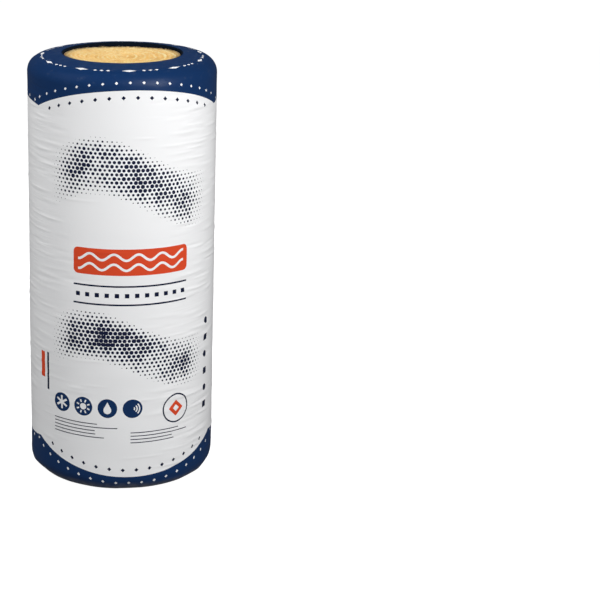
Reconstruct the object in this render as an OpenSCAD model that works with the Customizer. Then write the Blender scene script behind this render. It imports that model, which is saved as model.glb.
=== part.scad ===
// Roll of mineral wool in a printed film, standing on its end.
// Millimetres, +Z up along the roll's axis, origin at the centre of the face it stands on.

/* [Roll] */
// Height of the wrapped roll as it stands
roll_h = 1200; // [600:10:1400]
// Outside diameter of the wrapped roll
roll_d = 520; // [440:5:700]

/* [Film] */
// Thickness of the film
film_t = 0.5; // [0.4:0.1:1.5]
// Outside radius of the film's bend over the edge of each end
edge_r = 45; // [25:1:60]
// Diameter of the round opening that the film leaves at each end
opening_d = 324; // [200:2:330]
// Slope of the top collar, which rises from the bend to the rim, in degrees
collar_slope = 8; // [2:0.5:12]
// Outside radius of the rim where the top collar turns down into its opening
rim_r = 4; // [2.5:0.5:6]
// Depth of the wool below the top rim
rim_depth = 14; // [10:0.5:30]
// Width of the hem that lies on the wool under the top collar
hem_w = 30; // [10:1:45]

/* [Wool] */
// Thickness of one turn of the mat in the tight roll
turn_t = 12; // [8:0.5:25]
// Width of the seam between two turns on the ends
seam_w = 1.6; // [1:0.1:4]
// Depth of that seam
seam_depth = 4; // [2:0.5:10]
// Clearance between the wool and the film
gap = 0.3; // [0.2:0.05:0.5]

/* [Hidden] */
$fn = 96;

roll_r = roll_d / 2;
opening_r = opening_d / 2;

// Centre line of both bends, and of the rim
bend_x = roll_r - edge_r;
rim_x = opening_r + rim_r;
rim_z = roll_h - rim_r;

// Height of the top bend's centre: the collar touches both the bend and the rim
bend_drop = (edge_r - rim_r + (bend_x - rim_x) * sin(collar_slope)) / cos(collar_slope);
bend_z = rim_z - bend_drop;

// The two flat ends of the wool, and the hem's underside over the upper one
wool_bottom_z = film_t + gap;
wool_top_z = roll_h - rim_depth;
hem_z = wool_top_z + gap;

// The mat's turns that show whole on the flat of each end
turn_count = floor(bend_x / turn_t) - 1;

// Half section of the roll from its opening outwards, drawn in by inset all round
module roll_section(inset) {
    bend = edge_r - inset;
    rim = rim_r - inset;
    polygon([
        [opening_r + inset, inset],
        [bend_x, inset],
        [bend_x, edge_r],
        [roll_r - inset, edge_r],
        [roll_r - inset, bend_z],
        [bend_x, bend_z],
        [bend_x + bend * sin(collar_slope), bend_z + bend * cos(collar_slope)],
        [rim_x + rim * sin(collar_slope), rim_z + rim * cos(collar_slope)],
        [rim_x, rim_z],
        [opening_r + inset, rim_z]
    ]);
    for (z = [edge_r, bend_z])
        translate([bend_x, z])
            intersection() {
                circle(r = bend);
                translate([0, -edge_r])
                    square(2 * edge_r);
            }
    translate([rim_x, rim_z])
        circle(r = rim);
}

// The film's skin with its hem, open below the hem for the wool
module film_section() {
    difference() {
        roll_section(0);
        roll_section(film_t);
        translate([0, film_t])
            square([rim_x, hem_z - film_t]);
    }
    translate([opening_r, hem_z])
        square([hem_w, film_t]);
}

// The wool fills the film, and lies flat in the opening
module wool_section() {
    intersection() {
        union() {
            roll_section(film_t + gap);
            translate([0, wool_bottom_z])
                square([rim_x, wool_top_z - wool_bottom_z]);
        }
        square([roll_r, wool_top_z]);
    }
}

// One half turn of the seam, to the left or the right of the line between its two centres
module half_turn(r, side) {
    intersection() {
        difference() {
            circle(r = r + seam_w / 2);
            circle(r = r - seam_w / 2);
        }
        translate([-roll_r, side > 0 ? 0 : -roll_r])
            square([roll_d, roll_r]);
    }
}

// Spiral of half circles about two centres, half a turn's thickness apart
module seam() {
    for (turn = [1 : turn_count]) {
        translate([-turn_t / 4, 0])
            half_turn(turn * turn_t - turn_t / 2, 1);
        translate([turn_t / 4, 0])
            half_turn(turn * turn_t, -1);
    }
}

// The rolled mat: one turned solid, with its turns on both ends
module wool_roll() {
    color("goldenrod")
        difference() {
            rotate_extrude()
                wool_section();
            for (z = [wool_bottom_z, wool_top_z])
                translate([0, 0, z - seam_depth])
                    linear_extrude(2 * seam_depth)
                        seam();
        }
}

// The film round the roll, folded in over both ends
module film_wrap() {
    color("whitesmoke")
        rotate_extrude()
            film_section();
}

wool_roll();
film_wrap();
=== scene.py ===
# Roll of mineral wool standing on its end, wrapped in a printed film
import math
import random

import bpy
import numpy as np
from mathutils import Matrix, Vector, noise


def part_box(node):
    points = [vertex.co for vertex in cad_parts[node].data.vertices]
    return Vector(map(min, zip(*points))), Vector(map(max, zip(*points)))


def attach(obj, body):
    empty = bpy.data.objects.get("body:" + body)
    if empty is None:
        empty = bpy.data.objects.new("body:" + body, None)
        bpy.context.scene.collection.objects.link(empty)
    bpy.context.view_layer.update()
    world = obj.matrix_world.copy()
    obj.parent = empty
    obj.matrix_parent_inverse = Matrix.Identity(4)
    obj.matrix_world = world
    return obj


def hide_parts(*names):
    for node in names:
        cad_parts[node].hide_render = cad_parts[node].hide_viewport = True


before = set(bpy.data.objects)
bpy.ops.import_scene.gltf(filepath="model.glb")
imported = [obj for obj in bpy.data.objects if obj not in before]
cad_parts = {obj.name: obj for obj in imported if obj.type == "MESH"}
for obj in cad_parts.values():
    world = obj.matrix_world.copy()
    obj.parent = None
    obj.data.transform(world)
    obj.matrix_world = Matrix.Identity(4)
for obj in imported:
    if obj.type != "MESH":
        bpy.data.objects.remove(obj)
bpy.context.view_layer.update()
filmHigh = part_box("film_wrap")[1]
woolLow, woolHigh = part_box("wool_roll")
rollRadius = filmHigh[0]
rollHeight = filmHigh[2]
roundTurn = 2 * math.pi

scene = bpy.context.scene
scene.view_settings.view_transform = "Standard"  # whites stay white
print("frame loaded: roll %.3f m high, %.3f m across" % (rollHeight, 2 * rollRadius))


# Camera, a little above the roll and aimed past its right side
cameraSet = {
    "place": (0.0, -5.083, 2.08),
    "down": 17.32,  # degrees below level
    "right": 5.73,  # of straight ahead
    "lean": 1.83,
    "lens": 111.5,  # millimetres
    "sensor": 36.0,
}


def makeCamera():
    down, right, lean = (math.radians(cameraSet[word]) for word in ("down", "right", "lean"))
    data = bpy.data.cameras.new("camera")
    data.lens = cameraSet["lens"]
    data.sensor_width = cameraSet["sensor"]
    camera = bpy.data.objects.new("camera", data)
    camera.matrix_world = (
        Matrix.Translation(cameraSet["place"])
        @ Matrix.Rotation(-right, 4, "Z")
        @ Matrix.Rotation(math.pi / 2 - down, 4, "X")
        @ Matrix.Rotation(lean, 4, "Z")
    )
    scene.collection.objects.link(camera)
    scene.camera = camera


makeCamera()
print("camera placed")


# Small helpers for meshes
def ringFaces(rows, columns, closed):
    # quads between rings of points, each ring closed on itself
    row, column = np.meshgrid(np.arange(rows if closed else rows - 1), np.arange(columns), indexing="ij")
    below = (row + 1) % rows
    beside = (column + 1) % columns
    corners = [(row, column), (below, column), (below, beside), (row, beside)]
    return np.stack([r * columns + c for r, c in corners], -1).reshape(-1, 4)


def turnedRings(outline, angles):
    # a ring of points about the roll's axis for each radius and height of the outline
    x = outline[:, :1] * np.cos(angles)
    y = outline[:, :1] * np.sin(angles)
    z = np.repeat(outline[:, 1:], len(angles), 1)
    return np.stack([x, y, z], -1)


def addPiece(name, points, faces, material):
    mesh = bpy.data.meshes.new(name)
    mesh.from_pydata(points.reshape(-1, 3).tolist(), [], [tuple(face) for face in faces])
    mesh.polygons.foreach_set("use_smooth", [True] * len(mesh.polygons))
    mesh.materials.append(material)
    mesh.update()
    piece = bpy.data.objects.new(name, mesh)
    scene.collection.objects.link(piece)
    return piece


def addMap(mesh, name, *parts):
    # parts hold two numbers for each corner of each face, in the order of the faces
    places = np.concatenate([part.reshape(-1, 2) for part in parts])
    mesh.uv_layers.new(name=name).uv.foreach_set("vector", places.astype(np.float32).ravel())


def addTone(mesh, pale):
    layer = mesh.attributes.new("pale", "FLOAT", "POINT")
    layer.data.foreach_set("value", pale.astype(np.float32).ravel())


def noiseAt(points, size, shift):
    # soft noise from -1 to 1; size is the width of a bump along each axis
    scaled = np.asarray(points).reshape(-1, 3) / np.asarray(size) + shift
    return np.array([noise.noise(Vector(p)) for p in scaled]).reshape(np.shape(points)[:-1])


def fadeIn(x, start, end):
    # 0 up to start, 1 from end on; end may be the lower of the two
    t = np.clip((x - start) / (end - start), 0, 1)
    return t * t * (3 - 2 * t)


def fadeBoth(x, low, high):
    # 1 between two fades, 0 outside them
    return fadeIn(x, *low) * fadeIn(x, *high)


# Small helpers for materials
def newMaterial(name):
    material = bpy.data.materials.new(name)
    material.use_nodes = True
    tree = material.node_tree
    tree.nodes.clear()
    shader = tree.nodes.new("ShaderNodeBsdfPrincipled")
    output = tree.nodes.new("ShaderNodeOutputMaterial")
    tree.links.new(shader.outputs["BSDF"], output.inputs["Surface"])
    return material, tree, shader


class Field:
    # a number that changes over the surface; sums with it become Math nodes
    def __init__(self, tree, socket):
        self.tree = tree
        self.socket = socket

    def calc(self, operation, *others):
        node = self.tree.nodes.new("ShaderNodeMath")
        node.operation = operation
        for socket, value in zip(node.inputs, (self, *others)):
            if isinstance(value, Field):
                self.tree.links.new(value.socket, socket)
            else:
                socket.default_value = value
        return Field(self.tree, node.outputs[0])

    def __add__(self, other):
        return self.calc("ADD", other)

    def __sub__(self, other):
        return self.calc("SUBTRACT", other)

    def __mul__(self, other):
        return self.calc("MULTIPLY", other)

    def __truediv__(self, other):
        return self.calc("DIVIDE", other)

    def __lt__(self, other):
        return self.calc("LESS_THAN", other)

    def __gt__(self, other):
        return self.calc("GREATER_THAN", other)

    def __abs__(self):
        return self.calc("ABSOLUTE")

    def floor(self):
        return self.calc("FLOOR")

    def fract(self):
        return self.calc("FRACT")

    def sin(self):
        return self.calc("SINE")

    def cos(self):
        return self.calc("COSINE")

    def root(self):
        return self.calc("SQRT")

    def atLeast(self, other):
        return self.calc("MAXIMUM", other)

    def fromOne(self):
        return self.calc("MULTIPLY_ADD", -1.0, 1.0)

    __and__ = __mul__  # of masks: where both are 1
    __or__ = atLeast  # where one or both are 1


def anyOf(masks):
    found, *others = masks
    for mask in others:
        found = found | mask
    return found


def splitFields(tree, socket):
    split = tree.nodes.new("ShaderNodeSeparateXYZ")
    tree.links.new(socket, split.inputs["Vector"])
    return Field(tree, split.outputs["X"]), Field(tree, split.outputs["Y"])


def uvFields(tree, mapName):
    node = tree.nodes.new("ShaderNodeUVMap")
    node.uv_map = mapName
    return splitFields(tree, node.outputs["UV"])


def placeFields(tree, kind):
    node = tree.nodes.new("ShaderNodeTexCoord")
    return splitFields(tree, node.outputs[kind])


def noiseField(tree, stretch, detail=2.0, rough=0.5):
    # noise in metres of the piece's own space; stretch is bumps per metre along each axis
    place = tree.nodes.new("ShaderNodeTexCoord")
    mapping = tree.nodes.new("ShaderNodeMapping")
    mapping.inputs["Scale"].default_value = stretch
    cloud = tree.nodes.new("ShaderNodeTexNoise")
    cloud.inputs["Scale"].default_value = 1.0
    cloud.inputs["Detail"].default_value = detail
    cloud.inputs["Roughness"].default_value = rough
    tree.links.new(place.outputs["Object"], mapping.inputs["Vector"])
    tree.links.new(mapping.outputs["Vector"], cloud.inputs["Vector"])
    return Field(tree, cloud.outputs["Fac"])


def fromTo(field, low, high, start=0.0, end=1.0):
    # start where the field is low, end where it is high, and held there beyond
    node = field.tree.nodes.new("ShaderNodeMapRange")
    node.inputs["From Min"].default_value = low
    node.inputs["From Max"].default_value = high
    node.inputs["To Min"].default_value = start
    node.inputs["To Max"].default_value = end
    field.tree.links.new(field.socket, node.inputs["Value"])
    return Field(field.tree, node.outputs["Result"])


def cloudField(tree, spread, **grain):
    # noise whose range, the first two values of spread, becomes the last two
    return fromTo(noiseField(tree, **grain), *spread)


def diceField(first, second=None):
    # the same chance number from 0 to 1 for each value, or each pair of whole numbers
    tree = first.tree
    dice = tree.nodes.new("ShaderNodeTexWhiteNoise")
    if second is None:
        dice.noise_dimensions = "1D"
        tree.links.new(first.socket, dice.inputs["W"])
    else:
        dice.noise_dimensions = "2D"
        pair = tree.nodes.new("ShaderNodeCombineXYZ")
        tree.links.new(first.socket, pair.inputs["X"])
        tree.links.new(second.socket, pair.inputs["Y"])
        tree.links.new(pair.outputs["Vector"], dice.inputs["Vector"])
    return Field(tree, dice.outputs["Value"])


def mixColour(mask, under, over):
    # under shows where mask is 0, over where it is 1; each is a colour or a socket
    node = mask.tree.nodes.new("ShaderNodeMix")
    node.data_type = "RGBA"
    mask.tree.links.new(mask.socket, node.inputs["Factor"])
    for socket, colour in ((node.inputs[6], under), (node.inputs[7], over)):  # the node's two colours
        if isinstance(colour, tuple):
            socket.default_value = (*colour, 1.0)
        else:
            mask.tree.links.new(colour, socket)
    return node.outputs[2]


def bumpFrom(field, shader, distance):
    node = field.tree.nodes.new("ShaderNodeBump")
    node.inputs["Distance"].default_value = distance
    field.tree.links.new(field.socket, node.inputs["Height"])
    field.tree.links.new(node.outputs["Normal"], shader.inputs["Normal"])


# Print on the film. Lengths in metres along the flat film, angles in degrees round the roll
printPlan = {
    "front": 6.05,  # middle of the front panel half way up, to the right of the roll's front
    "twist": 1.7,  # turn of the film in each metre of height
    "wide": 133.0,  # the two wide panels; two narrow ones fill the rest
    "topCusp": 1.0736,  # height where two arches of the top edge meet
    "footCusp": 0.1245,
    "bow": 0.7523,  # rise of an arch for each square metre of half width
    "footBow": 1.10,  # how much taller the arches at the foot are
    "topGap": 0.0214,  # pale dots from the arch at the top
    "rowGap": 0.0202,  # the other rows of dots from their arch
    "narrowGap": 0.0095,  # pale dots from the arches of the narrow panels
    "palePitch": 0.0366,
    "paleShift": 0.0256,
    "darkPitch": 0.0378,
    "darkShift": 0.0094,
    "footShift": 0.0080,  # how much further right the rows at the foot lie
    "darkFrom": 0.0184,  # arch height where the dark dots begin
    "narrowDots": 5,
    "dot": 0.0043,  # half diagonal of a dot
    "darkDot": 0.0058,
    "footDot": 0.0046,
}
wideHalf = math.radians(printPlan["wide"]) * rollRadius / 2
narrowHalf = math.pi * rollRadius / 2 - wideHalf

wavePlan = {
    "pitch": 0.0128,  # from dot to dot
    "largest": 0.0068,
    "taper": 0.6,  # below 1 the dots shrink late towards a wave's edges
    "uneven": (0.72, 0.34),  # least share of its size that a dot has, and the spread above that
    "length": 0.58,  # from crest to crest
    "whole": 0.17,  # the dots shrink from here to the sides of the panel
    "end": 0.243,
    "waves": (
        {"height": 0.885, "sway": 0.052, "start": 2.6, "half": 0.080},
        {"height": 0.418, "sway": 0.046, "start": 2.9, "half": 0.072},
    ),
}

emblemPlan = {
    "bar": {"middle": (0.0, 0.672), "size": (0.33, 0.074), "corner": 0.014},
    "ripples": {"apart": 0.014, "rise": 0.0085, "pitch": 0.0665, "line": 0.0034},
    "rules": {"heights": (0.604, 0.552), "length": 0.33, "line": 0.0048},
    "ticks": {"height": 0.578, "pitch": 0.0275, "size": (0.012, 0.012)},
}

markPlan = {
    "roundels": ((-0.205, 0.252), (-0.135, 0.252), (-0.065, 0.252), (0.005, 0.252)),
    "radius": 0.0275,
    "crystal": {"arms": 6, "half": 0.11, "reach": 0.72},  # this and the next three in shares of the radius
    "sun": {"rays": 8, "half": 0.075, "reach": (0.48, 0.76), "disc": 0.34},
    "drop": {"ball": 0.4, "low": 0.2, "tip": 0.68, "slope": 0.52, "cut": 0.05},
    "arcs": {"pitch": 0.26, "reach": 0.78},
    "ring": {"middle": (0.135, 0.238), "radius": 0.041, "line": 0.0042, "lozenge": 0.024, "hole": 0.010},
    "lines": (
        {"left": -0.232, "right": -0.035, "top": 0.205, "count": 5, "pitch": 0.0098, "line": 0.0026},
        {"left": 0.0, "right": 0.185, "top": 0.182, "count": 4, "pitch": 0.0098, "line": 0.0026},
    ),
    "ragged": 0.07,  # how much shorter a line may be
    "column": {"across": 0.262, "low": 0.19, "high": 0.49, "pitch": 0.05, "size": 0.019},
    "orangeBar": {"middle": (-0.284, 0.345), "size": (0.018, 0.075)},
    "darkBar": {"middle": (-0.260, 0.330), "size": (0.008, 0.110)},
}


def archHeight(across, half):
    return printPlan["bow"] * (half * half - across * across)


def archLength(across):
    # length along an arch from its middle
    return across * (across * across * ((2 * printPlan["bow"]) ** 2 / 6) + 1.0)


def boxMask(x, y, middle, size):
    return (abs(x - middle[0]) < size[0] / 2) & (abs(y - middle[1]) < size[1] / 2)


def roundBoxMask(x, y, middle, size, corner):
    sideX = (abs(x - middle[0]) - (size[0] / 2 - corner)).atLeast(0.0)
    sideY = (abs(y - middle[1]) - (size[1] / 2 - corner)).atLeast(0.0)
    return sideX * sideX + sideY * sideY < corner * corner


def lengthOf(x, y):
    return (x * x + y * y).root()


def diamondMask(x, y, size):
    return abs(x) + abs(y) < size


def edgeFields(height, arch):
    # heights over the edge of the top band and over that of the foot band
    overTop = height - arch - printPlan["topCusp"]
    overFoot = height + arch * printPlan["footBow"] - printPlan["footCusp"]
    return overTop, overFoot


def dotRow(steps, pitch, level, size):
    # one row of diamonds, a step apart
    return diamondMask(((steps + 0.5).fract() - 0.5) * pitch, level, size)


def dotMasks(across, height, paleSteps, arch, wide):
    # pale dots in the two bands, dark dots along the edges of the white
    plan = printPlan
    top, foot = edgeFields(height, arch)
    topGap = wide * (plan["topGap"] - plan["narrowGap"]) + plan["narrowGap"]
    footGap = wide * (plan["rowGap"] - plan["narrowGap"]) + plan["narrowGap"]
    pitch = plan["palePitch"]
    footSteps = paleSteps - plan["footShift"] / pitch
    pale = dotRow(paleSteps, pitch, top - topGap, plan["dot"])
    pale = pale | dotRow(footSteps, pitch, foot + footGap, plan["footDot"])
    pitch = plan["darkPitch"]
    darkSteps = (archLength(across) - plan["darkShift"]) / pitch
    footSteps = darkSteps - plan["footShift"] / pitch
    dark = dotRow(darkSteps, pitch, top + plan["rowGap"], plan["darkDot"])
    dark = dark | dotRow(footSteps, pitch, foot - plan["rowGap"], plan["darkDot"])
    return pale, dark & wide & (arch > plan["darkFrom"])


def waveMask(across, height, cloud):
    # rows of round dots of uneven size, largest along the middle of each wave
    plan = wavePlan
    pitch = plan["pitch"]
    rowPitch = pitch * math.sqrt(3) / 2
    row = height / rowPitch
    odd = row.floor().calc("MODULO", 2.0) * 0.5  # every other row lies half a step over
    column = across / pitch + odd
    away = lengthOf((column.fract() - 0.5) * pitch, (row.fract() - 0.5) * rowPitch)
    dotAcross = (column.floor() - odd + 0.5) * pitch
    dotHeight = (row.floor() + 0.5) * rowPitch
    least, spread = plan["uneven"]
    share = fromTo(abs(dotAcross), plan["end"], plan["whole"])
    share = share * cloud * (diceField(column.floor(), row.floor()) * spread + least)
    turn = dotAcross * (roundTurn / plan["length"])
    masks = []
    for wave in plan["waves"]:
        middle = (turn + wave["start"]).sin() * wave["sway"] + wave["height"]
        off = (dotHeight - middle) / wave["half"]
        inside = (off * off).fromOne().atLeast(0.0)
        masks.append(away < inside.calc("POWER", plan["taper"]) * share * plan["largest"])
    return anyOf(masks)


def emblemMasks(across, height):
    # a bar with two rippled lines, over two rules and a row of ticks
    bar, ripples, rules, ticks = (emblemPlan[word] for word in ("bar", "ripples", "rules", "ticks"))
    barMask = roundBoxMask(across, height, **bar)
    waveNumber = roundTurn / ripples["pitch"]
    turn = across * waveNumber
    away = abs(abs(height - bar["middle"][1] - turn.sin() * ripples["rise"]) - ripples["apart"])
    slope = turn.cos() * (ripples["rise"] * waveNumber)
    rippleMask = away / (slope * slope + 1.0).root() < ripples["line"]
    rippleMask = rippleMask & (abs(across) < bar["size"][0] / 2 - bar["corner"])
    ruleSize = (rules["length"], rules["line"])
    navy = anyOf([boxMask(across, height, (0.0, level), ruleSize) for level in rules["heights"]])
    x = ((across / ticks["pitch"]).fract() - 0.5) * ticks["pitch"]
    tickMask = boxMask(x, height, (0.0, ticks["height"]), ticks["size"])
    navy = navy | (tickMask & (abs(across) < rules["length"] / 2))
    return barMask, rippleMask & barMask, navy


def armFields(x, y, count):
    # distance from the middle of the nearest of a ring of arms, and from the ring's centre
    sector = roundTurn / count
    angle = y.calc("ARCTAN2", x)
    local = (angle / sector).fract() * sector - sector / 2
    away = lengthOf(x, y)
    return abs(away * local.sin()), away


def crystalMark(x, y, radius):
    plan = markPlan["crystal"]
    beside, away = armFields(x, y, plan["arms"])
    return (beside < radius * plan["half"]) & (away < radius * plan["reach"])


def sunMark(x, y, radius):
    plan = markPlan["sun"]
    start, end = plan["reach"]
    beside, away = armFields(x, y, plan["rays"])
    ray = (beside < radius * plan["half"]) & (away < radius * end) & (away > radius * start)
    return ray | (away < radius * plan["disc"])


def dropMark(x, y, radius):
    plan = markPlan["drop"]
    ball = lengthOf(x, y + radius * plan["low"]) < radius * plan["ball"]
    side = abs(x) + (y - radius * plan["tip"]) * plan["slope"] < 0.0
    return ball | (side & (y > -radius * plan["cut"]))


def arcsMark(x, y, radius):
    plan = markPlan["arcs"]
    away = lengthOf(x, y)
    arc = (away / (radius * plan["pitch"])).fract() > 0.5
    return arc & (away < radius * plan["reach"]) & (abs(y) < x)


def roundelMasks(across, height):
    # four filled roundels with a plain mark each
    radius = markPlan["radius"]
    discs = []
    marks = []
    for middle, mark in zip(markPlan["roundels"], (crystalMark, sunMark, dropMark, arcsMark)):
        x = across - middle[0]
        y = height - middle[1]
        discs.append(lengthOf(x, y) < radius)
        marks.append(mark(x, y, radius) & discs[-1])
    return anyOf(discs), anyOf(marks)


def ringMasks(across, height):
    # outlined roundel round a plain lozenge
    ring = markPlan["ring"]
    x = across - ring["middle"][0]
    y = height - ring["middle"][1]
    outline = abs(lengthOf(x, y) - ring["radius"]) < ring["line"] / 2
    lozenge = diamondMask(x, y, ring["lozenge"]) - diamondMask(x, y, ring["hole"])
    return outline, lozenge


def lineMask(across, height):
    # rows of thin strokes of uneven length
    masks = []
    for block in markPlan["lines"]:
        row = (height * -1.0 + block["top"]) / block["pitch"]
        end = diceField(row.floor() + block["left"]) * -markPlan["ragged"] + block["right"]
        inked = row.fract() < block["line"] / block["pitch"]
        inked = inked & (row > 0.0) & (row < float(block["count"]))
        masks.append(inked & (across > block["left"]) & (across < end))
    return anyOf(masks)


def columnMask(across, height):
    # small squares and discs in turn, up the side of the panel
    column = markPlan["column"]
    row = (height - column["low"]) / column["pitch"]
    odd = row.floor().calc("MODULO", 2.0)
    x = across - column["across"]
    y = (row.fract() - 0.5) * column["pitch"]
    square = abs(x).atLeast(abs(y))
    away = square + (lengthOf(x, y) - square) * odd
    return (away < column["size"] / 2) & (height > column["low"]) & (height < column["high"])


collarPlan = {
    "marks": 11,
    "shift": 0.16,  # share of a step
    "radius": 0.222,  # of the ring of marks
    "height": 1.214,
    "sway": 0.009,  # how much lower the ring lies at the front
    "lozenge": {"middle": -0.030, "size": (0.019, 0.0056)},
    "beads": {"left": 0.000, "right": 0.051, "pitch": 0.017, "size": (0.0058, 0.0036)},
}


def collarMask(around, height):
    # a long lozenge and three short ones in turn round the top
    plan = collarPlan
    pitch = roundTurn * plan["radius"] / plan["marks"]
    x = ((around * float(plan["marks"]) + plan["shift"]).fract() - 0.5) * pitch
    y = abs(height - plan["height"] + (around * roundTurn).cos() * plan["sway"])
    lozenge = plan["lozenge"]
    mark = abs(x - lozenge["middle"]) / lozenge["size"][0] + y / lozenge["size"][1] < 1.0
    beads = plan["beads"]
    beadX = abs(((x - beads["left"]) / beads["pitch"]).fract() - 0.5) * beads["pitch"]
    row = beadX / beads["size"][0] + y / beads["size"][1] < 1.0
    return mark | (row & (x > beads["left"]) & (x < beads["right"]))


# Heights here are those up the flat film; each spread is from, to, and what these become
filmLook = {
    "white": (0.86, 0.86, 0.865),
    "navy": (0.0045, 0.0270, 0.0980),
    "ink": (0.0040, 0.0075, 0.0320),  # dots, strokes and rules
    "orange": (0.67, 0.066, 0.021),
    "blotches": {"stretch": (9.0, 9.0, 9.0), "spread": (0.3, 0.7, 0.62, 1.10)},  # in the waves of dots
    "scuff": (0.55, 0.56, 0.58),
    "scuffs": {
        "stretch": (45.0, 45.0, 70.0), "detail": 4.0, "rough": 0.65, "spread": (0.58, 0.74, 0.0, 0.03),
    },
    "topBend": (1.13, 1.17),  # where the scuffs come in
    "footBend": (0.06, 0.03),
    "dust": (0.30, 0.29, 0.27),
    "dusting": {"stretch": (55.0, 55.0, 55.0), "detail": 3.0, "spread": (0.25, 0.7)},
    "dustHeights": (0.032, -0.01, 0.0, 0.7),
    "dustBelow": (-0.055, -0.02, 0.35, 1.0),  # less of it underneath
    "shade": (0.0015, 0.0050, 0.0110),  # painted shade: near-black navy on the inside of the fold at the rim, which lies in shadow
    # heights up the flat film over which the painted shade of the fold comes in
    "fold": (1.2660, 1.2700),
    "foldRough": 0.6,
    "gloss": {"stretch": (14.0, 14.0, 30.0), "detail": 4.0, "rough": 0.6, "spread": (0.3, 0.7, 0.30, 0.44)},
    "ior": 1.5,
    "shine": 0.15,
    "creases": {"stretch": (8.0, 8.0, 95.0), "spread": (0.52, 0.78)},
    "patches": {"stretch": (5.0, 5.0, 4.0), "spread": (0.42, 0.62)},  # where the creases lie
    "sides": (0.40, 0.85),  # fewer of them on the front and the back
    "belowCollar": (1.13, 1.09),  # and none on the collar
    "ripple": (14.0, 14.0, 34.0),
    "creaseShare": 0.4,
    "rippleShare": 0.08,
    "bump": 0.0014,
}


def printColour(tree, across, height, around, wide):
    paleSteps, arch = uvFields(tree, "rows")
    overTop, overFoot = edgeFields(height, arch)
    band = (overTop > 0.0) | (overFoot < 0.0)
    palePoints, darkPoints = dotMasks(across, height, paleSteps, arch, wide)
    waves = waveMask(across, height, cloudField(tree, **filmLook["blotches"]))
    bar, ripples, ruled = emblemMasks(across, height)
    discs, marks = roundelMasks(across, height)
    ring, lozenge = ringMasks(across, height)
    strokes = lineMask(across, height) | columnMask(across, height)
    darkBar = boxMask(across, height, **markPlan["darkBar"])
    orangeBar = boxMask(across, height, **markPlan["orangeBar"])
    # the motifs lie only on the wide panels
    ink = darkPoints | (anyOf([waves, ruled, ring, strokes, darkBar]) & wide)
    navy = band | (discs & wide)
    orange = (bar | lozenge | orangeBar) & wide
    pale = palePoints | collarMask(around, height) | ((ripples | marks) & wide)
    colour = filmLook["white"]
    for mask, word in ((ink, "ink"), (navy, "navy"), (orange, "orange"), (pale, "white")):
        colour = mixColour(mask, colour, filmLook[word])
    return colour


def makeFilmMaterial():
    look = filmLook
    material, tree, shader = newMaterial("printed film")
    across, height = uvFields(tree, "panel")
    around, wide = uvFields(tree, "wrap")
    colour = printColour(tree, across, height, around, wide)
    bends = fromTo(height, *look["topBend"]) | fromTo(height, *look["footBend"])
    colour = mixColour(cloudField(tree, **look["scuffs"]) * bends, colour, look["scuff"])
    dusty = fromTo(height, *look["dustHeights"]) * fromTo(height, *look["dustBelow"])
    colour = mixColour(cloudField(tree, **look["dusting"]) * dusty, colour, look["dust"])
    # painted shade: the inside of the fold, in shadow behind the rim, turns near-black navy; it is also
    # rougher there
    paintedFoldShade = fromTo(height, *look["fold"])
    colour = mixColour(paintedFoldShade, colour, look["shade"])
    tree.links.new(colour, shader.inputs["Base Color"])

    rough = cloudField(tree, **look["gloss"]) + paintedFoldShade * look["foldRough"]
    tree.links.new(rough.socket, shader.inputs["Roughness"])
    shader.inputs["IOR"].default_value = look["ior"]
    shader.inputs["Specular IOR Level"].default_value = look["shine"]
    creases = cloudField(tree, **look["creases"]) * cloudField(tree, **look["patches"])
    creases = creases * fromTo(abs((around * roundTurn).sin()), *look["sides"])
    creases = creases * fromTo(height, *look["belowCollar"])
    ripple = noiseField(tree, look["ripple"])
    bumpFrom(creases * look["creaseShare"] + ripple * look["rippleShare"], shader, look["bump"])
    return material


# Film: a closed thin skin, from the hem under the collar, over the roll, to the edge under its foot
filmShape = {
    "edge": 0.045,  # bend over the edge of each end
    "opening": 0.162,
    "slope": 8.0,  # rise of the collar to the rim, degrees
    "rim": 0.004,
    "hem": 0.03,  # width of the hem under the collar
    "corner": 0.0015,  # bend into the hem
    "clear": 0.0003,  # from the hem down to the wool
    "skin": (0.0005, 0.0012),  # thickness at both ends, and along the side
    "skinFades": ((0.0, 0.03), (1.20, 1.16)),  # heights up the film between which it thickens
    "wideColumns": 60,
    "narrowColumns": 20,
    "steps": (4, 4, 3, 9, 10, 18, 470, 16, 8),  # rows in each stretch of the section, from the hem on
    "insideSteps": (1, 3, 1, 6, 2, 10, 12, 8, 1),
    "insideStrip": 0.06,  # share of the film's flat layout
    "stripMargin": 0.03,  # share of the strip
    "lean": {"from": 1.12, "whole": 1.20, "drop": 0.0024, "right": 0.0115, "back": 0.004},  # of the top end
}

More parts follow.
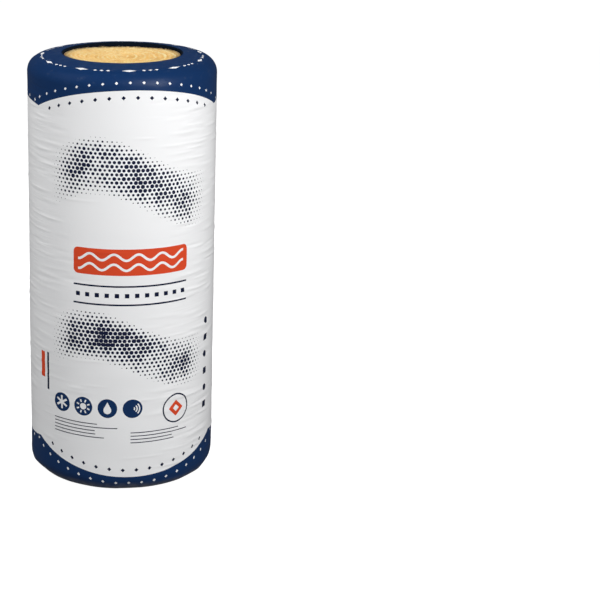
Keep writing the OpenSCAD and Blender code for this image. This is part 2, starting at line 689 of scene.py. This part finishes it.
bulgeSet = {
    "seed": 11,
    "broad": {"rise": 0.0011, "size": (0.30, 0.30, 0.24), "shift": 3.7},
    "soft": {"rise": 0.0005, "size": (0.16, 0.16, 0.05), "shift": 9.2},
    "facets": {"rise": 0.0010, "size": (0.11, 0.11, 0.09), "shift": 5.1},
    "facetFade": (0.75, 0.25),  # heights between which the facets come in
    "sideFades": ((0.0, 0.03), (1.235, 1.15)),  # heights between which the side's unevenness comes in
    "stillFades": ((-0.018, 0.004), (1.268, 1.255)),  # the foot and the rim stay put
    "creases": 780,
    "zones": (  # where the creases gather round the roll
        {"angle": -62.0, "spread": 13.0, "depth": 1.1},
        {"angle": 40.0, "spread": 9.0, "depth": 1.3},
        {"angle": 54.0, "spread": 13.0, "depth": 2.1},
        {"angle": 118.0, "spread": 14.0, "depth": 1.6},
        {"angle": -122.0, "spread": 14.0, "depth": 1.6},
        {"angle": 172.0, "spread": 14.0, "depth": 1.2},
    ),
    "zoneShare": 0.84,
    "creaseFree": (0.5, 1.5),  # bends left without creases at the foot and at the top
    "creaseHalf": (0.030, 0.095),  # half length round the roll
    "creaseWidth": (0.0026, 0.0060),
    "creaseDepth": (0.0002, 0.0008),
    "creaseWays": (1, 1, -0.8),  # two stand out for each one that sinks in
    "creaseTilt": 0.06,  # most rise for each metre along
    "pleats": 90,
    "pleatWidth": (0.018, 0.040),  # radians
    "pleatDepth": (0.0002, 0.0007),
    "pleatReach": (0.015, 0.055),
    "pleatFade": 1.5,
    "lap": {"angle": 262.0, "width": 0.03, "rise": 0.0008, "edge": 0.0008},  # the outer end, on the start
    "lapColumns": (-2, 0, 1, 3),  # widths of its edge
    "dents": 16,  # flat places round the bend at the foot
    "dentHalf": (0.12, 0.30),  # radians
    "dentHeight": (0.0, 0.02),
    "dentReach": (0.020, 0.045),
    "dentDepth": (0.0006, 0.0026),
    "pressed": {"angle": -57.0, "half": 0.34, "height": 0.012, "reach": 0.026, "depth": 0.0046},
    "least": -0.0012,  # limits of it all, apart from the dents
    "most": 0.0030,
}


def filmRows(steps):
    # points of the film's section, their ways outward, and their heights up the flat film
    s = filmShape
    slope = math.radians(s["slope"])
    bendX = rollRadius - s["edge"]
    rimX = s["opening"] + s["rim"]
    rimZ = rollHeight - s["rim"]
    bendZ = rimZ - (s["edge"] - s["rim"] + (bendX - rimX) * math.sin(slope)) / math.cos(slope)
    hemX = s["opening"] + s["corner"]
    hemZ = woolHigh[2] + s["clear"]
    quarter = math.pi / 2
    path = [(s["opening"] + s["hem"], hemZ)]

    def lineTo(x, z, count):
        fromX, fromZ = path[-1]
        for k in range(1, count + 1):
            path.append((fromX + (x - fromX) * k / count, fromZ + (z - fromZ) * k / count))

    def arcRound(x, z, radius, start, end, count):
        for k in range(1, count + 1):
            angle = start + (end - start) * k / count
            path.append((x + radius * math.cos(angle), z + radius * math.sin(angle)))

    lineTo(hemX, hemZ, steps[0])
    arcRound(hemX, hemZ + s["corner"], s["corner"], 3 * quarter, 2 * quarter, steps[1])
    lineTo(s["opening"], rimZ, steps[2])
    arcRound(rimX, rimZ, s["rim"], 2 * quarter, quarter - slope, steps[3])
    lineTo(bendX + s["edge"] * math.sin(slope), bendZ + s["edge"] * math.cos(slope), steps[4])
    arcRound(bendX, bendZ, s["edge"], quarter - slope, 0.0, steps[5])
    lineTo(rollRadius, s["edge"], steps[6])
    arcRound(bendX, s["edge"], s["edge"], 0.0, -quarter, steps[7])
    lineTo(s["opening"], 0.0, steps[8])

    path = np.array(path)
    gone = np.concatenate([[0], np.cumsum(np.linalg.norm(np.diff(path, axis=0), axis=1))])
    along = np.gradient(path, gone, axis=0)
    along /= np.linalg.norm(along, axis=1)[:, None]
    outward = np.stack([-along[:, 1], along[:, 0]], 1)
    height = bendZ + gone[sum(steps[:6])] - gone  # the same as z down the side
    return path, outward, height


def filmColumns():
    # angles from the front, with a column on each border between panels and four at the lapped edge
    lap = bulgeSet["lap"]
    lapColumns = math.radians(lap["angle"]) + np.array(bulgeSet["lapColumns"]) * lap["edge"] / rollRadius
    angles = []
    middles = []
    halves = []
    start = math.radians(printPlan["front"]) - wideHalf / rollRadius
    for half, count in ((wideHalf, "wideColumns"), (narrowHalf, "narrowColumns")) * 2:
        width = 2 * half / rollRadius
        spread = start + width * np.arange(filmShape[count]) / filmShape[count]
        inside = lapColumns[(lapColumns > start) & (lapColumns < start + width)]
        spread = np.sort(np.concatenate([spread, inside]))
        angles.append(spread)
        middles.append(np.full(len(spread), start + width / 2))
        halves.append(np.full(len(spread), half))
        start += width
    return np.concatenate(angles), np.concatenate(middles), np.concatenate(halves)


def angleFrom(angles, middle):
    return (angles - middle + math.pi) % roundTurn - math.pi


def addCreases(bulge, angles, height, dice):
    footFree, topFree = bulgeSet["creaseFree"]
    low = filmShape["edge"] * footFree
    high = rollHeight - filmShape["edge"] * topFree
    for _ in range(bulgeSet["creases"]):
        middle = dice.uniform(-math.pi, math.pi)
        strength = 1.0
        if dice.random() < bulgeSet["zoneShare"]:
            zone = dice.choice(bulgeSet["zones"])
            middle = math.radians(dice.gauss(zone["angle"], zone["spread"]))
            strength = zone["depth"]
        level = dice.uniform(low, high)
        half = dice.uniform(*bulgeSet["creaseHalf"]) / rollRadius
        width = dice.uniform(*bulgeSet["creaseWidth"])
        depth = dice.uniform(*bulgeSet["creaseDepth"]) * dice.choice(bulgeSet["creaseWays"]) * strength
        tilt = dice.uniform(-1, 1) * bulgeSet["creaseTilt"]
        turn = angleFrom(angles, middle)
        columns = np.flatnonzero(np.abs(turn) < half)
        rows = np.flatnonzero(np.abs(height - level) < 4 * width)  # next to nothing is left beyond that
        off = (height[rows, None] - level - tilt * turn[None, columns] * rollRadius) / width
        fade = (1 - (turn[None, columns] / half) ** 2) ** 2
        bulge[np.ix_(rows, columns)] += depth * np.exp(-off * off) * fade


def addPleats(bulge, angles, height, dice):
    # small puckers that run out from the rim over the collar
    rimHeight = height[sum(filmShape["steps"][:4])]  # on the outside, where the collar begins
    for _ in range(bulgeSet["pleats"]):
        turn = angleFrom(angles, dice.uniform(-math.pi, math.pi)) / dice.uniform(*bulgeSet["pleatWidth"])
        reach = dice.uniform(*bulgeSet["pleatReach"])
        depth = dice.uniform(*bulgeSet["pleatDepth"])
        fade = np.clip(1 - (rimHeight - height) / reach, 0, 1) ** bulgeSet["pleatFade"]
        bulge += depth * fade[:, None] * np.exp(-turn * turn)[None, :]


def pressIn(bulge, turn, level, depth):
    bulge -= depth * np.clip(1 - turn * turn, 0, 1)[None, :] * np.exp(-level * level)[:, None]


def addDents(bulge, angles, height, dice):
    # flat places where the film was pressed under the roll
    for _ in range(bulgeSet["dents"]):
        turn = angleFrom(angles, dice.uniform(-math.pi, math.pi)) / dice.uniform(*bulgeSet["dentHalf"])
        level = (height - dice.uniform(*bulgeSet["dentHeight"])) / dice.uniform(*bulgeSet["dentReach"])
        pressIn(bulge, turn, level, dice.uniform(*bulgeSet["dentDepth"]))
    pressed = bulgeSet["pressed"]
    turn = angleFrom(angles, math.radians(pressed["angle"])) / pressed["half"]
    pressIn(bulge, turn, (height - pressed["height"]) / pressed["reach"], pressed["depth"])


def filmBulge(path, height, angles):
    # how far the film stands out from the plain roll
    dice = random.Random(bulgeSet["seed"])
    x = path[:, :1] * np.sin(angles)
    y = path[:, :1] * -np.cos(angles)
    z = np.broadcast_to(height[:, None], x.shape)
    points = np.stack([x, y, z], -1)

    def uneven(name):
        kind = bulgeSet[name]
        return kind["rise"] * noiseAt(points, kind["size"], kind["shift"])

    facets = np.abs(uneven("facets")) * fadeIn(z, *bulgeSet["facetFade"])
    bulge = uneven("broad") + uneven("soft") + facets
    addCreases(bulge, angles, height, dice)
    bulge *= fadeBoth(z, *bulgeSet["sideFades"])
    addPleats(bulge, angles, height, dice)
    lap = bulgeSet["lap"]
    lapOff = angleFrom(angles, math.radians(lap["angle"])) * rollRadius
    bulge += lap["rise"] * fadeBoth(lapOff, (0.0, lap["edge"]), (lap["width"], lap["width"] / 2))
    bulge = np.clip(bulge, bulgeSet["least"], bulgeSet["most"])
    addDents(bulge, angles, height, dice)
    return bulge * fadeBoth(z, *bulgeSet["stillFades"])


def addFilmMaps(mesh, height, inHeight, columns):
    # places of each corner of each face, in the order of the quads' corners
    angles, middles, halves = columns
    after = np.append(angles[1:], angles[0] + roundTurn)
    rows = np.concatenate([height, inHeight[::-1]])
    isWide = halves == wideHalf
    narrowPitch = 2 * archLength(narrowHalf) / printPlan["narrowDots"]

    def byColumn(left, right):
        return np.tile(np.stack([left, left, right, right], 1), (len(rows), 1))

    def byRow(upper, lower):
        return np.repeat(np.stack([upper, lower, lower, upper], 1), len(angles), 0)

    def paleSteps(across):
        wideSteps = (archLength(across) - printPlan["paleShift"]) / printPlan["palePitch"]
        return np.where(isWide, wideSteps, archLength(across) / narrowPitch)

    # flat layout of the whole film for baking, with its hidden inside in a strip below
    strip, margin = filmShape["insideStrip"], filmShape["stripMargin"]
    outerShare = (height - height[-1]) / (height[0] - height[-1])
    innerShare = (inHeight - inHeight[-1]) / (inHeight[0] - inHeight[-1])
    outerLines = strip + (1 - strip) * outerShare
    innerLines = strip * (1 - margin - (1 - 2 * margin) * innerShare[::-1])
    lines = np.concatenate([outerLines, innerLines, [0.0]])
    turned = byColumn(angles - angles[0], after - angles[0]) / roundTurn
    addMap(mesh, "OFBake", np.stack([turned, byRow(lines[:-1], lines[1:])], -1))

    # where the print lies: along its panel and up the film, round the roll, and in the rows of dots
    left = (angles - middles) * rollRadius
    right = (after - middles) * rollRadius
    addMap(mesh, "panel", np.stack([byColumn(left, right), byRow(rows, np.roll(rows, -1))], -1))
    turned = byColumn(angles / roundTurn, after / roundTurn)
    addMap(mesh, "wrap", np.stack([turned, byColumn(isWide, isWide)], -1))
    arches = byColumn(archHeight(left, halves), archHeight(right, halves))
    addMap(mesh, "rows", np.stack([byColumn(paleSteps(left), paleSteps(right)), arches], -1))


def makeFilm(material):
    path, outward, height = filmRows(filmShape["steps"])
    inPath, inOutward, inHeight = filmRows(filmShape["insideSteps"])
    columns = filmColumns()
    angles = columns[0]
    bulge = filmBulge(path, height, angles)
    thin, thick = filmShape["skin"]
    skin = thin + (thick - thin) * fadeBoth(inHeight, *filmShape["skinFades"])
    inside = np.minimum(filmBulge(inPath, inHeight, angles), 0.0) - skin[:, None]
    outerRings = path[:, None] + outward[:, None] * bulge[..., None]
    innerRings = inPath[:, None] + inOutward[:, None] * inside[..., None]
    rings = np.concatenate([outerRings, innerRings[::-1]])
    rows = np.concatenate([height, inHeight[::-1]])

    turned = angles + math.radians(printPlan["twist"]) * (rows[:, None] - rollHeight / 2)
    x = rings[..., 0] * np.sin(turned)
    y = rings[..., 0] * -np.cos(turned)
    lean = filmShape["lean"]
    tip = lean["right"] * x + lean["back"] * y - lean["drop"]
    z = rings[..., 1] + fadeIn(rows, lean["from"], lean["whole"])[:, None] * tip
    faces = ringFaces(len(rows), len(angles), True)
    film = addPiece("film", np.stack([x, y, z], -1), faces, material)
    addFilmMaps(film.data, height, inHeight, columns)
    return film, height[0] - height[-1]


filmMaterial = makeFilmMaterial()
film, filmLength = makeFilm(filmMaterial)
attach(film, "root")
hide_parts("film_wrap")
print("film made: %d faces" % len(film.data.polygons))


# Wool: one turned mesh, with the turns of the mat on both ends
woolShape = {
    "turn": 0.012,  # thickness of a turn of the mat
    "start": 0.75,  # share of a turn where the mat begins
    "radius": 0.2574,
    "shoulder": 0.042,  # bend under the collar
    "heel": (0.050, 0.056),  # bend at the foot, across and up
    "bend": (90, 70, 45, 20, 0),  # degrees of the rings on both bends
    "topDrop": 0.0012,  # how far the ends lie inside the frame's
    "footRise": 0.0004,
    "sunk": 0.0045,  # how far the ends lie back under the film
    "sunkHalf": 0.004,  # half width of the step down to that, at the edge of the opening
    "lean": (0.0003, 0.010),  # of the top end: its rise, and the rise for each metre to the right
    "sideRise": 0.0060,  # how far the top stands up at the left and the right of the opening
    "columns": 420,
    "topRings": 149,
    "fineRadius": 0.170,  # the top's rings lie close together inside this
    "hiddenRings": 5,
    "footRings": 42,
    "sideTone": 0.5,  # half way from gold to pale, also at the centre of each end
}
woolTop = woolHigh[2] - woolShape["topDrop"]
woolFoot = woolLow[2] + woolShape["footRise"]

# Relief of the ends: pairs are the width of the bumps and a shift of the noise
woolEnds = {
    "wander": ((0.017, 0.085), (0.0034, 0.028), (0.0012, 0.0055)),  # how far turns stray, over what width
    "wanderShift": (2.4, 8.8),
    "seam": {"width": 0.0013, "depth": 0.0025, "pale": -0.25},
    "layers": {"middle": 0.45, "width": 0.18, "mean": 0.62, "swing": 0.38, "rise": 0.0004, "pale": 1.35},
    "cover": {"bumps": (0.035, 7.7), "mean": 0.75, "swing": 0.9, "least": 0.2},  # of the pale layers
    "fluff": {
        "coarse": (0.006, 1.3), "fine": (0.0028, 6.1), "fineShare": 0.9, "rise": 0.0010, "pale": 0.20,
    },
    "swell": {"bumps": (0.06, 4.2), "rise": 0.0012},
    "plain": 0.06,  # tone between the layers; 0 is gold and 1 pale
}

woolLook = {
    "gold": (0.89, 0.560, 0.140),
    "pale": (0.98, 0.90, 0.56),
    "deep": (0.60, 0.29, 0.06),
    "edge": (0.20, 0.105, 0.035),  # painted shade of the rim on the wool near the opening's edge
    "edgeShade": (0.034, 0.003),  # distances from the opening's edge between which it comes in
    "edgeShare": 0.95,
    "fibres": {"stretch": (260.0, 260.0, 260.0), "detail": 4.0, "rough": 0.7},
    "clumps": {"stretch": (38.0, 38.0, 38.0), "detail": 3.0, "rough": 0.6},
    "toneShare": 0.8,
    "fibrePale": (0.3, 0.7, 0.0, 0.25),  # from, to, and what these become
    "clumpDeep": (0.56, 0.74, 0.0, 0.5),
    "clumpRough": (0.3, 0.7, 0.82, 0.96),
    "shine": 0.15,
    "sheen": 0.10,
    "sheenRough": 0.5,
    "clumpShare": 0.6,  # of the bump
    "bump": 0.0012,
}


def turnPlace(x, y):
    # turns from the start of the mat to a point, and how far it lies from one seam, 0, to the next, 1
    points = np.stack([x, y, np.zeros_like(x)], -1)
    shiftX, shiftY = woolEnds["wanderShift"]
    for far, width in woolEnds["wander"]:
        x = x + far * noiseAt(points, width, shiftX)
        y = y + far * noiseAt(points, width, shiftY)
    angle = np.arctan2(y, x) / roundTurn
    place = np.hypot(x, y) / woolShape["turn"] - angle + woolShape["start"]
    turn = np.floor(place)
    return turn + angle, place - turn


def woolRelief(x, y):
    # height of the end's surface against its flat, and how pale it is
    seamSet, layerSet, coverSet, fluffSet, swellSet = (
        woolEnds[word] for word in ("seam", "layers", "cover", "fluff", "swell")
    )
    turns, place = turnPlace(x, y)
    points = np.stack([x, y, np.zeros_like(x)], -1)
    off = np.minimum(place, 1 - place) * woolShape["turn"] / seamSet["width"]
    seam = np.exp(-off * off)
    off = (place - layerSet["middle"]) / layerSet["width"]
    layers = np.exp(-off * off) * (layerSet["mean"] + layerSet["swing"] * np.cos(math.pi * turns))
    cover = coverSet["mean"] + coverSet["swing"] * noiseAt(points, *coverSet["bumps"])
    layers = layers * np.clip(cover, coverSet["least"], 1.0)
    fine = noiseAt(points, *fluffSet["fine"])
    fluff = noiseAt(points, *fluffSet["coarse"]) + fluffSet["fineShare"] * fine
    swell = swellSet["rise"] * noiseAt(points, *swellSet["bumps"])
    relief = swell - seamSet["depth"] * seam + layerSet["rise"] * layers + fluffSet["rise"] * fluff
    pale = layerSet["pale"] * layers + fluffSet["pale"] * fluff + seamSet["pale"] * seam
    return relief, np.clip(woolEnds["plain"] + pale, 0, 1)


def topLean(x):
    rise, slope = woolShape["lean"]
    side = x / filmShape["opening"]
    return rise + slope * x + woolShape["sideRise"] * side * side


def makeWoolMaterial():
    look = woolLook
    material, tree, shader = newMaterial("mineral wool")
    node = tree.nodes.new("ShaderNodeAttribute")
    node.attribute_name = "pale"
    fibres = noiseField(tree, **look["fibres"])
    clumps = noiseField(tree, **look["clumps"])
    pale = Field(tree, node.outputs["Fac"]) * look["toneShare"] + fromTo(fibres, *look["fibrePale"])
    colour = mixColour(pale, look["gold"], look["pale"])
    colour = mixColour(fromTo(clumps, *look["clumpDeep"]), colour, look["deep"])
    # painted shade of the rim: the wool and its strands darken towards the edge of the opening
    start, end = (filmShape["opening"] - inward for inward in look["edgeShade"])
    shade = fromTo(lengthOf(*placeFields(tree, "Object")), start, end)
    colour = mixColour(shade * shade * look["edgeShare"], colour, look["edge"])
    tree.links.new(colour, shader.inputs["Base Color"])
    tree.links.new(fromTo(clumps, *look["clumpRough"]).socket, shader.inputs["Roughness"])
    shader.inputs["Specular IOR Level"].default_value = look["shine"]
    shader.inputs["Sheen Weight"].default_value = look["sheen"]
    shader.inputs["Sheen Roughness"].default_value = look["sheenRough"]
    bumpFrom(fibres + clumps * look["clumpShare"], shader, look["bump"])
    return material


# Flat layout of the wool for baking: the top end is a large disc, the foot end a small one
woolDiscs = {
    "top": {"middle": 0.36, "radius": 0.355, "fine": 0.88, "hidden": 0.92, "bend": (0.93, 0.97)},
    "foot": {"middle": 0.80, "radius": 0.19, "flat": 0.88, "bend": (1.0, 0.90)},
}


def addWoolMap(mesh, topRadii, footRadii, angles):
    top, foot = woolDiscs["top"], woolDiscs["foot"]
    bends = len(woolShape["bend"])
    shoulderX = woolShape["radius"] - woolShape["shoulder"]
    heelX = woolShape["radius"] - woolShape["heel"][0]
    radii = (0.0, woolShape["fineRadius"], shoulderX)
    topShares = np.append(np.interp(topRadii, radii, (0.0, top["fine"], top["hidden"])),
                          np.linspace(*top["bend"], bends))
    footShares = np.append(np.linspace(*foot["bend"], bends), footRadii / heelX * foot["flat"])
    upper = np.append(topShares * top["radius"], footShares[:-1] * foot["radius"])
    outer = [top["radius"]]  # the plain side runs to the outer edge of the large disc
    lower = np.concatenate([topShares[1:] * top["radius"], outer, footShares[1:] * foot["radius"]])
    isTop = np.arange(len(upper)) < len(topShares)
    middles = np.where(isTop, top["middle"], foot["middle"])[:, None, None, None]
    after = np.roll(angles, -1)

    def laid(middle, radius, *turns):
        turn = np.stack(turns, 1)
        return middle + radius * np.stack([np.cos(turn), np.sin(turn)], -1)

    ringSpread = np.stack([upper, lower, lower, upper], 1)[:, None, :, None]
    cap = np.array([[0.0], [1.0], [1.0]])
    addMap(
        mesh, "OFBake",
        laid(middles, ringSpread, angles, angles, after, after),
        laid(top["middle"], cap * topShares[0] * top["radius"], angles, angles, after),
        laid(foot["middle"], cap * footShares[-1] * foot["radius"], angles, after, angles),
    )


def makeWool(material):
    s = woolShape
    opening = filmShape["opening"]
    heelAcross, heelUp = s["heel"]
    shoulderX = s["radius"] - s["shoulder"]
    heelX = s["radius"] - heelAcross
    fine = np.linspace(0.0, s["fineRadius"], s["topRings"] + 1)[1:]
    hidden = np.linspace(s["fineRadius"], shoulderX, s["hiddenRings"] + 2)[1:-1]
    topRadii = np.concatenate([fine, hidden])
    footRadii = np.linspace(0.0, heelX, s["footRings"] + 2)[1:-1][::-1]
    angles = np.arange(s["columns"]) / s["columns"] * roundTurn

    def endRings(radii, level, sign):
        x = radii[:, None] * np.cos(angles)
        y = radii[:, None] * np.sin(angles)
        relief, pale = woolRelief(x, y)
        held = fadeIn(radii, opening + s["sunkHalf"], opening - s["sunkHalf"])[:, None]
        rise = relief + topLean(x) if sign > 0 else np.minimum(relief, 0.0)
        return np.stack([x, y, level + sign * (rise * held - s["sunk"] * (1 - held))], -1), pale

    topPoints, topPale = endRings(topRadii, woolTop, 1)
    footPoints, footPale = endRings(footRadii, woolFoot, -1)
    bend = np.radians(s["bend"])
    shoulderZ = woolTop - s["sunk"] + s["shoulder"] * (np.sin(bend) - 1)
    heelZ = woolFoot + s["sunk"] - heelUp * (np.sin(bend) - 1)
    shoulder = np.stack([shoulderX + s["shoulder"] * np.cos(bend), shoulderZ], 1)
    heel = np.stack([heelX + heelAcross * np.cos(bend), heelZ], 1)[::-1]
    sidePoints = turnedRings(np.concatenate([shoulder, heel]), angles)
    rings = np.concatenate([topPoints, sidePoints, footPoints])
    centres = np.array([[0, 0, woolTop], [0, 0, woolFoot]])
    points = np.concatenate([rings.reshape(-1, 3), centres])

    quads = ringFaces(len(rings), s["columns"], False).tolist()
    topCentre = len(rings) * s["columns"]
    footRing = topCentre - s["columns"]
    column = np.arange(s["columns"])
    pairs = np.stack([column, (column + 1) % s["columns"]], 1).tolist()
    caps = [(topCentre, a, b) for a, b in pairs]
    caps += [(topCentre + 1, footRing + b, footRing + a) for a, b in pairs]
    wool = addPiece("wool", points, quads + caps, material)
    sidePale = np.full(sidePoints.shape[:2], s["sideTone"])
    centrePale = np.full(len(centres), s["sideTone"])
    addTone(wool.data, np.concatenate([topPale.ravel(), sidePale.ravel(), footPale.ravel(), centrePale]))
    addWoolMap(wool.data, topRadii, footRadii, angles)
    return wool


# Loose strands on the wool that shows in the opening
strandSet = {
    "seed": 23,
    "count": 5200,
    "length": (0.006, 0.024),
    "thick": (0.00013, 0.00030),
    "taper": 0.6,  # lost towards the ends
    "lift": 0.0016,
    "above": 0.0003,  # height of the ends over the wool
    "heading": 0.7,  # how far they stray from the way of the turns, radians
    "curl": 0.9,
    "room": (0.008, 0.003),  # of their middles and their ends from the edge of the opening
    "paler": 0.1,  # than the wool under them
    "tones": 0.25,  # spread of their tones
    "joints": 5,
    "sides": 3,
    "cell": {"margin": 0.15, "cap": 0.03},  # shares of a strand's cell in the flat layout
}


def strandLines():
    # middle lines of the strands, their ways, their thickness along them and their tones
    s = strandSet
    middleRoom, endRoom = s["room"]
    rng = np.random.default_rng(s["seed"])
    count = s["count"]
    radius = (filmShape["opening"] - middleRoom) * np.sqrt(rng.random(count))
    angle = rng.uniform(0, roundTurn, count)
    heading = angle + math.pi / 2 + rng.normal(0, s["heading"], count)
    curl = rng.normal(0, s["curl"], count)
    length = rng.uniform(*s["length"], count)
    thick = rng.uniform(*s["thick"], count)
    lift = np.abs(rng.normal(0, s["lift"], count))
    tone = rng.uniform(-s["tones"], s["tones"], count)
    t = np.linspace(-0.5, 0.5, s["joints"])
    way = heading[:, None] + curl[:, None] * t
    step = length[:, None] / (s["joints"] - 1)
    half = step[:, 0] * s["joints"] / 2
    startX = radius * np.cos(angle) - half * np.cos(heading)
    startY = radius * np.sin(angle) - half * np.sin(heading)
    x = startX[:, None] + np.cumsum(step * np.cos(way), 1)
    y = startY[:, None] + np.cumsum(step * np.sin(way), 1)
    reach = np.maximum(np.hypot(x, y), endRoom)
    squeeze = np.minimum(1.0, (filmShape["opening"] - endRoom) / reach)
    x = x * squeeze
    y = y * squeeze
    relief, under = woolRelief(x, y)
    tone = np.clip(tone[:, None] + under + s["paler"], 0, 1)
    z = woolTop + relief + topLean(x) + s["above"] + lift[:, None] * (1 - 4 * t * t)
    taper = thick[:, None] * (1 - s["taper"] * (2 * np.abs(t)) ** 2)
    return np.stack([x, y, z], -1), way, taper, tone


def addStrandMap(mesh):
    # flat layout for baking: each strand has a small cell of its own
    s = strandSet
    margin, cap = s["cell"]["margin"], s["cell"]["cap"]
    cells = math.ceil(math.sqrt(s["count"]))
    corner = np.stack(np.divmod(np.arange(s["count"]), cells), 1)
    row, column = np.divmod(np.arange((s["joints"] - 1) * s["sides"]), s["sides"])
    along = np.stack([row, row + 1, row + 1, row], 1)[:, ::-1] / (s["joints"] - 1)
    across = np.stack([column, column, column + 1, column + 1], 1)[:, ::-1] / s["sides"]
    tube = margin + (1 - 2 * margin) * np.stack([along, across], -1)
    startCap = np.array([(margin, margin), (margin, 1 - margin), (cap, 0.5)])
    parts = (corner[:, None, None] + tube, corner[:, None] + startCap, corner[:, None] + 1 - startCap)
    addMap(mesh, "OFBake", *(part / cells for part in parts))


def makeStrands(material):
    s = strandSet
    spine, way, taper, tone = strandLines()
    sideways = np.stack([-np.sin(way), np.cos(way), np.zeros_like(way)], -1)
    upward = np.array([0.0, 0.0, 1.0])
    spokes = np.arange(s["sides"]) / s["sides"] * roundTurn
    rings = [spine + taper[..., None] * (math.cos(a) * sideways + math.sin(a) * upward) for a in spokes]
    perStrand = s["joints"] * s["sides"]
    starts = np.arange(s["count"]) * perStrand
    ends = starts + perStrand - s["sides"]
    tube = ringFaces(s["joints"], s["sides"], False)[:, ::-1]  # faces look outward
    quads = (starts[:, None, None] + tube).reshape(-1, 4).tolist()
    caps = [(a + 2, a + 1, a) for a in starts.tolist()] + [(a, a + 1, a + 2) for a in ends.tolist()]
    strands = addPiece("wool_strands", np.stack(rings, 2), quads + caps, material)
    addTone(strands.data, np.repeat(tone, s["sides"]))
    addStrandMap(strands.data)
    return strands


woolMaterial = makeWoolMaterial()
wool = makeWool(woolMaterial)
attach(wool, "root")
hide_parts("wool_roll")
strands = makeStrands(woolMaterial)
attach(strands, "root")
print("wool made: %d faces, %d in strands" % (len(wool.data.polygons), len(strands.data.polygons)))

filmWidth = roundTurn * rollRadius + bulgeSet["lap"]["width"]
print("film cut: %.3f by %.3f m" % (filmWidth, filmLength))


# Pale floor that curves up behind, and soft studio light
studio = {
    "pale": (0.24, 0.24, 0.24),
    "glow": 0.97,
    "grain": {"stretch": (3.0, 3.0, 3.0), "spread": (0.3, 0.7, 0.55, 0.65)},
    "floorHole": 0.01,  # radius, under the roll
    "floorRadius": 8.0,
    "cove": 3.0,  # radius of the curve from the floor to the wall
    "coveRings": 13,
    "wallTop": 9.0,
    "columns": 96,
    "sky": (0.97, 0.985, 1.0),
    "skyFront": 0.32,
    "skyBack": 0.05,
    "aim": (0.0, 0.0, 0.75),
    "lamps": (
        {"name": "left", "place": (-2.95, -0.55, 3.5), "size": (2.8, 2.8), "power": 116.0, "gloss": False},
        {"name": "front", "place": (1.9, -2.9, 2.9), "size": (2.6, 2.6), "power": 84.0, "gloss": True},
        {"name": "right", "place": (1.3, -1.5, 1.5), "size": (0.5, 1.2), "power": 15.0, "gloss": True},
        {"name": "back", "place": (0.0, 3.1, 2.4), "size": (1.6, 1.6), "power": 84.0, "gloss": False},
    ),
}


def makeFloor():
    material, tree, shader = newMaterial("pale floor")
    tree.links.new(cloudField(tree, **studio["grain"]).socket, shader.inputs["Roughness"])
    shader.inputs["Base Color"].default_value = (*studio["pale"], 1.0)
    shader.inputs["Emission Color"].default_value = (1.0, 1.0, 1.0, 1.0)
    shader.inputs["Emission Strength"].default_value = studio["glow"]
    bend = np.radians(np.linspace(-90, 0, studio["coveRings"]))
    cove = np.stack([np.cos(bend), 1 + np.sin(bend)], 1) * studio["cove"] + (studio["floorRadius"], 0)
    outline = np.concatenate([[[studio["floorHole"], 0.0]], cove, [[cove[-1, 0], studio["wallTop"]]]])
    angles = np.linspace(0, roundTurn, studio["columns"], endpoint=False)
    faces = ringFaces(len(outline), studio["columns"], False)
    floor = addPiece("floor", turnedRings(outline, angles), faces, material)
    floor.visible_diffuse = False  # the roll keeps its own light and shade
    floor.visible_glossy = False
    floor.visible_shadow = False


def makeLights():
    world = bpy.data.worlds.new("studio")
    world.use_nodes = True
    tree = world.node_tree
    sky = tree.nodes["Background"]
    sky.inputs["Color"].default_value = (*studio["sky"], 1.0)
    _, backward = placeFields(tree, "Generated")
    fade = fromTo(backward, -1.0, 1.0, studio["skyFront"], studio["skyBack"])
    tree.links.new(fade.socket, sky.inputs["Strength"])
    scene.world = world
    for lamp in studio["lamps"]:
        light = bpy.data.lights.new(lamp["name"], "AREA")
        light.shape = "RECTANGLE"
        light.size, light.size_y = lamp["size"]
        light.energy = lamp["power"]
        holder = bpy.data.objects.new(lamp["name"], light)
        holder.location = lamp["place"]
        toward = Vector(studio["aim"]) - Vector(lamp["place"])
        holder.rotation_euler = toward.to_track_quat("-Z", "Y").to_euler()
        holder.visible_camera = False
        holder.visible_glossy = lamp["gloss"]
        scene.collection.objects.link(holder)


makeFloor()
makeLights()
print("studio lit")
